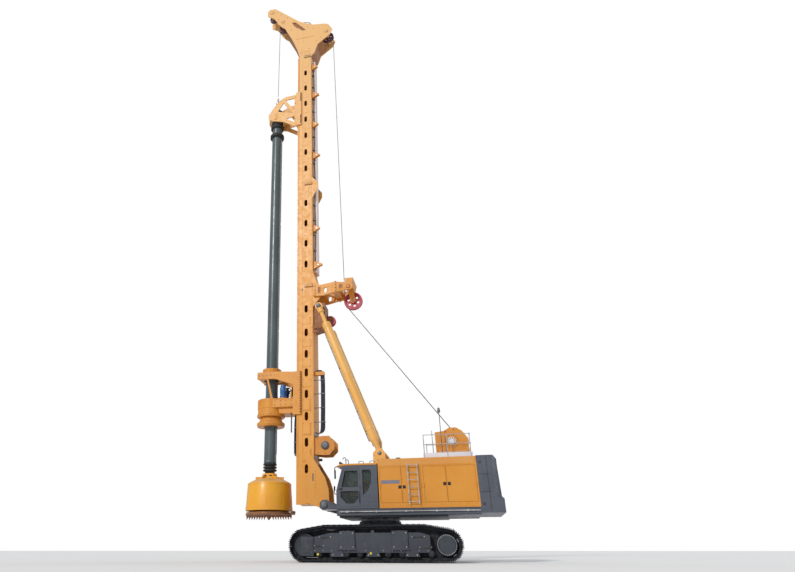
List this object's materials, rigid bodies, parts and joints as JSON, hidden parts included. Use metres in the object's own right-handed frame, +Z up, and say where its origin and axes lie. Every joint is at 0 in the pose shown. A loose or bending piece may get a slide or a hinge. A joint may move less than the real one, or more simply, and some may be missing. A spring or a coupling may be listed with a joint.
{
  "type": "rotary piling rig",
  "caption": "Tracked rotary piling rig with a turning house, cab, luffing mast on two struts, rotary drive, hanging kelly bar and drilling bucket.",
  "frame": {"origin": "centre of the whole rig's box, at ground level under the tracks", "axes": "+X forwards, +Y to the cab's side, +Z up"},
  "size_m": [10.08, 4.7, 29.93],
  "materials": {
    "bare_steel": "bare steel",
    "kelly_blue_grey": "dark blue-grey paint, greased",
    "pale_panel": "pale grey paint",
    "rig_yellow": "semi-gloss machine enamel, sun-warmed",
    "rubber_black": "black rubber",
    "sheave_purple": "dark purple-brown enamel",
    "sheave_red": "red enamel",
    "slate_grey": "semi-gloss dark slate enamel",
    "track_black": "dark worn casting",
    "window_glass": "green-tinted glass"
  },
  "bodies": {
    "crawler": {"left_track": "track_black", "left_track_frame": "slate_grey", "left_sprocket": "slate_grey", "right_track": "track_black", "right_track_frame": "slate_grey", "right_sprocket": "slate_grey", "car_body": "slate_grey", "slew_ring": "bare_steel"},
    "house": {"main_deck": "slate_grey", "engine_hood": "rig_yellow", "counterweight": "slate_grey", "cab_shell": "slate_grey", "quarter_window": "window_glass", "right_window": "window_glass", "windscreen": "window_glass", "cab_roof_guard": "rig_yellow", "operator_seat": "rubber_black", "control_console": "rubber_black", "engine_block": "track_black", "fuel_tank": "rig_yellow", "strut_support": "rig_yellow", "roof_rails": "pale_panel", "main_winch_frame": "rig_yellow"},
    "left_door_1": {"left_hood_door_1": "rig_yellow"},
    "left_door_2": {"left_hood_door_2": "rig_yellow", "ladder": "bare_steel"},
    "left_door_3": {"left_hood_door_3": "rig_yellow"},
    "left_door_4": {"left_hood_door_4": "rig_yellow"},
    "right_door_1": {"right_hood_door_1": "rig_yellow"},
    "right_door_2": {"right_hood_door_2": "rig_yellow"},
    "cab_door": {"cab_door": "slate_grey", "door_window": "window_glass"},
    "main_drum": {"main_winch_drum": "track_black"},
    "mast": {"mast_lower": "rig_yellow", "mast_middle": "rig_yellow", "mast_top": "rig_yellow", "mast_head": "rig_yellow", "mast_arms": "rig_yellow", "strut_head_box": "rig_yellow", "low_winch_frame": "rig_yellow", "hose_tray": "pale_panel"},
    "arm_sheave": {"arm_sheave": "sheave_red"},
    "box_sheave": {"box_sheave": "sheave_red"},
    "left_barrel": {"left_strut_barrel": "rig_yellow"},
    "left_rod": {"left_strut_rod": "rig_yellow"},
    "right_barrel": {"right_strut_barrel": "rig_yellow"},
    "right_rod": {"right_strut_rod": "rig_yellow"},
    "low_drum": {"low_winch_drum": "track_black"},
    "sledge": {"drive_sledge": "rig_yellow", "drive_gearbox": "rig_yellow"},
    "sleeve": {"drive_sleeve": "rig_yellow"},
    "guide": {"kelly_guide": "rig_yellow"},
    "kelly": {"kelly_bar": "kelly_blue_grey", "kelly_stub": "rubber_black", "bucket_shell": "rig_yellow"},
    "gate": {"bucket_gate": "rig_yellow"},
    "front_sheave": {"head_front_sheave": "sheave_purple"},
    "tip_sheave": {"head_tip_sheave": "sheave_purple"},
    "rear_sheave": {"head_rear_sheave": "sheave_purple"}
  },
  "joints": [
    {"name": "slew", "type": "hinge", "parent": "crawler", "child": "house", "pos_m": [-0.44, 0, 1.5], "axis": [0, 0, 1], "continuous": true},
    {"name": "mast_tilt", "type": "hinge", "parent": "house", "child": "mast", "pos_m": [1.63, 0, 2], "axis": [0, 1, 0], "range_deg": [-8, 5]},
    {"name": "left_strut_swing", "type": "hinge", "parent": "house", "child": "left_barrel", "pos_m": [-0.64, 0.62, 3.88], "axis": [0, 1, 0], "range_deg": [-9.5, 6]},
    {"name": "left_strut_slide", "type": "slide", "parent": "left_barrel", "child": "left_rod", "axis": [0.3454, 0, 0.9384], "range_m": [-0.4, 0.26]},
    {"name": "right_strut_swing", "type": "hinge", "parent": "house", "child": "right_barrel", "pos_m": [-0.64, -0.62, 3.88], "axis": [0, 1, 0], "range_deg": [-9.5, 6]},
    {"name": "right_strut_slide", "type": "slide", "parent": "right_barrel", "child": "right_rod", "axis": [0.3454, 0, 0.9384], "range_m": [-0.4, 0.26]},
    {"name": "crowd", "type": "slide", "parent": "mast", "child": "sledge", "axis": [0, 0, 1], "range_m": [-0.8, 5.2]},
    {"name": "drive_spin", "type": "hinge", "parent": "sledge", "child": "sleeve", "pos_m": [4.08, 0, 5.23], "axis": [0, 0, 1], "continuous": true},
    {"name": "kelly_hoist", "type": "slide", "parent": "mast", "child": "guide", "axis": [0, 0, 1], "range_m": [-7.5, 0.6]},
    {"name": "kelly_spin", "type": "hinge", "parent": "guide", "child": "kelly", "pos_m": [4.08, 0, 22.4], "axis": [0, 0, 1], "continuous": true},
    {"name": "bucket_gate_swing", "type": "hinge", "parent": "kelly", "child": "gate", "pos_m": [3.06, 0, 1.8], "axis": [0, 1, 0], "range_deg": [0, 75]},
    {"name": "main_winch_spin", "type": "hinge", "parent": "house", "child": "main_drum", "pos_m": [-3.44, 0, 4.24], "axis": [0, 1, 0], "continuous": true},
    {"name": "low_winch_spin", "type": "hinge", "parent": "mast", "child": "low_drum", "pos_m": [1.61, 0, 4.32], "axis": [0, 1, 0], "continuous": true},
    {"name": "front_sheave_spin", "type": "hinge", "parent": "mast", "child": "front_sheave", "pos_m": [3.73, 0, 28.7], "axis": [0, 1, 0], "continuous": true},
    {"name": "tip_sheave_spin", "type": "hinge", "parent": "mast", "child": "tip_sheave", "pos_m": [4.42, 0, 29.62], "axis": [0, 1, 0], "continuous": true},
    {"name": "rear_sheave_spin", "type": "hinge", "parent": "mast", "child": "rear_sheave", "pos_m": [1.18, 0, 27.3], "axis": [0, 1, 0], "continuous": true},
    {"name": "arm_sheave_spin", "type": "hinge", "parent": "mast", "child": "arm_sheave", "pos_m": [0.28, 0, 10.75], "axis": [0, 1, 0], "continuous": true},
    {"name": "box_sheave_spin", "type": "hinge", "parent": "mast", "child": "box_sheave", "pos_m": [1.42, -0.25, 9.95], "axis": [0, 1, 0], "continuous": true},
    {"name": "cab_door_swing", "type": "hinge", "parent": "house", "child": "cab_door", "pos_m": [0.06, 1.638, 2.45], "axis": [0, 0, 1], "range_deg": [0, 80]},
    {"name": "left_door_1_swing", "type": "hinge", "parent": "house", "child": "left_door_1", "pos_m": [-0.7, 1.618, 1.98], "axis": [0, 0, -1], "range_deg": [0, 75]},
    {"name": "left_door_2_swing", "type": "hinge", "parent": "house", "child": "left_door_2", "pos_m": [-2.2, 1.618, 1.98], "axis": [0, 0, 1], "range_deg": [0, 60]},
    {"name": "left_door_3_swing", "type": "hinge", "parent": "house", "child": "left_door_3", "pos_m": [-2.3, 1.618, 1.98], "axis": [0, 0, -1], "range_deg": [0, 75]},
    {"name": "left_door_4_swing", "type": "hinge", "parent": "house", "child": "left_door_4", "pos_m": [-4.16, 1.618, 1.98], "axis": [0, 0, 1], "range_deg": [0, 75]},
    {"name": "right_door_1_swing", "type": "hinge", "parent": "house", "child": "right_door_1", "pos_m": [-0.84, -1.618, 1.98], "axis": [0, 0, 1], "range_deg": [0, 75]},
    {"name": "right_door_2_swing", "type": "hinge", "parent": "house", "child": "right_door_2", "pos_m": [-4.04, -1.618, 1.98], "axis": [0, 0, -1], "range_deg": [0, 75]}
  ],
  "couplings": [
    {"joint": "left_strut_swing", "follows": "mast_tilt", "ratio": 1.15},
    {"joint": "right_strut_swing", "follows": "mast_tilt", "ratio": 1.15},
    {"joint": "left_strut_slide", "follows": "mast_tilt", "m_per_rad": 2.74},
    {"joint": "right_strut_slide", "follows": "mast_tilt", "m_per_rad": 2.74},
    {"joint": "drive_spin", "follows": "kelly_spin", "ratio": 1}
  ]
}
